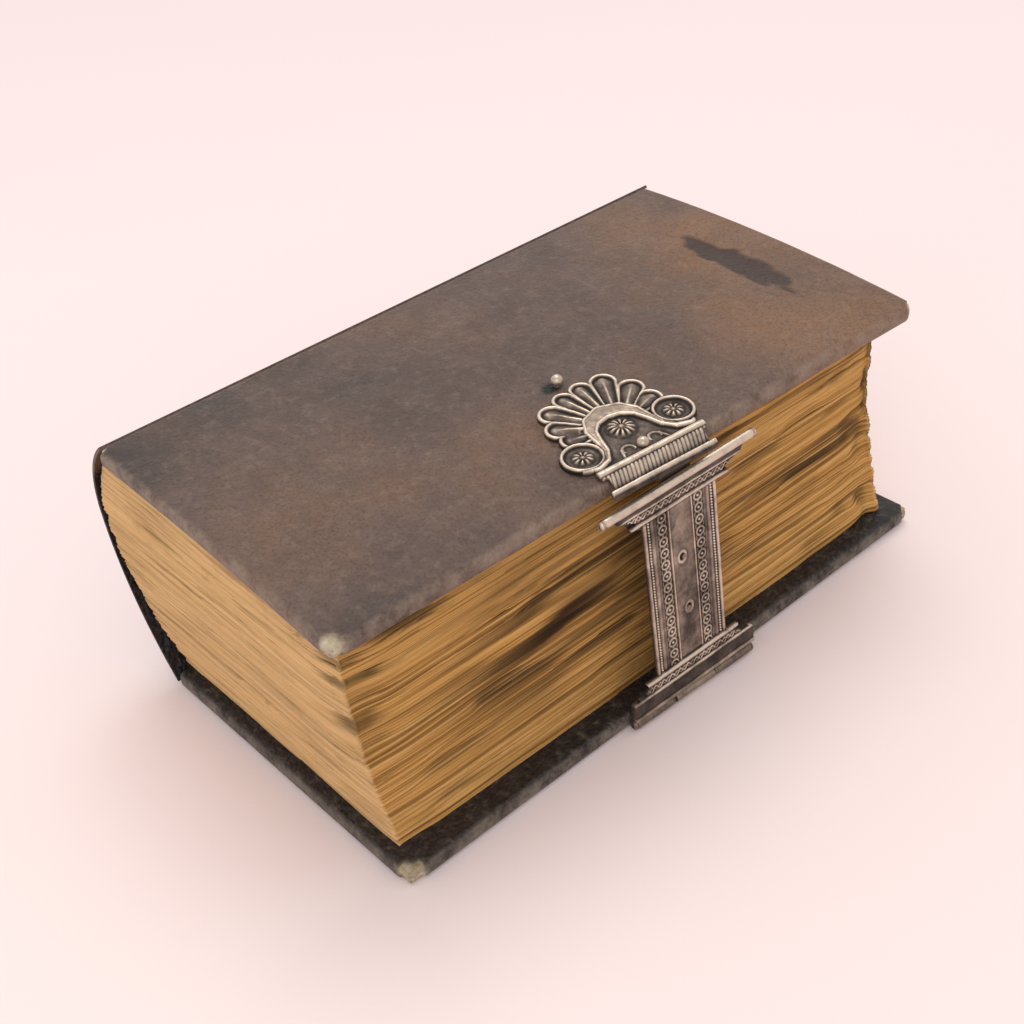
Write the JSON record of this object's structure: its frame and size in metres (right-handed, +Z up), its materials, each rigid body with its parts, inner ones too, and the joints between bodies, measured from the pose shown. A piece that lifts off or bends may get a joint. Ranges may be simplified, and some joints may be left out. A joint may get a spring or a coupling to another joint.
{
  "type": "clasped leather book",
  "caption": "Thick old book in worn leather over pasteboard, with a tarnished silver clasp, a palmette catch plate and yellowed page edges.",
  "frame": {"origin": "middle of the back cover's outer face, on which the closed book rests", "axes": "+X from the spine to the fore edge, +Y from the tail to the head along the spine, +Z up from the back cover to the front cover"},
  "size_m": [0.1133, 0.1741, 0.073],
  "materials": {
    "old_leather": "worn, dry",
    "pasteboard": "matte",
    "old_paper": "yellowed, matte",
    "hemp_cord": "matte",
    "tarnished_silver": "tarnished, rubbed bright on the high parts"
  },
  "bodies": {
    "back_cover": {"back_leather": "old_leather", "back_board": "pasteboard", "back_pastedown": "old_paper", "anchor_plate": "tarnished_silver", "anchor_rivets": "tarnished_silver", "hinge_pin": "tarnished_silver"},
    "pages": {"text_block": "old_paper", "sewing_cords": "hemp_cord", "spine_lining": "old_paper", "spine_leather": "old_leather"},
    "front_cover": {"front_leather": "old_leather", "front_board": "pasteboard", "front_pastedown": "old_paper", "catch_plate": "tarnished_silver", "catch_rivets": "tarnished_silver"},
    "clasp": {"clasp_strap": "tarnished_silver", "clasp_grip": "tarnished_silver", "catch_spring": "tarnished_silver", "strap_rivets": "tarnished_silver"}
  },
  "joints": [
    {"name": "back_cover_hinge", "type": "hinge", "parent": "back_cover", "child": "pages", "pos_m": [-0.046, 0, 0.0004], "axis": [0, -1, 0], "range_deg": [0, 150]},
    {"name": "front_cover_hinge", "type": "hinge", "parent": "pages", "child": "front_cover", "pos_m": [-0.0479, -0.0015, 0.0698], "axis": [-0.0289, -0.9996, -0.0054], "range_deg": [0, 150]},
    {"name": "clasp_hinge", "type": "hinge", "parent": "back_cover", "child": "clasp", "pos_m": [0.0483, -0.001, 0.00185], "axis": [0.0384, 0.9993, 0], "range_deg": [0, 110]}
  ]
}
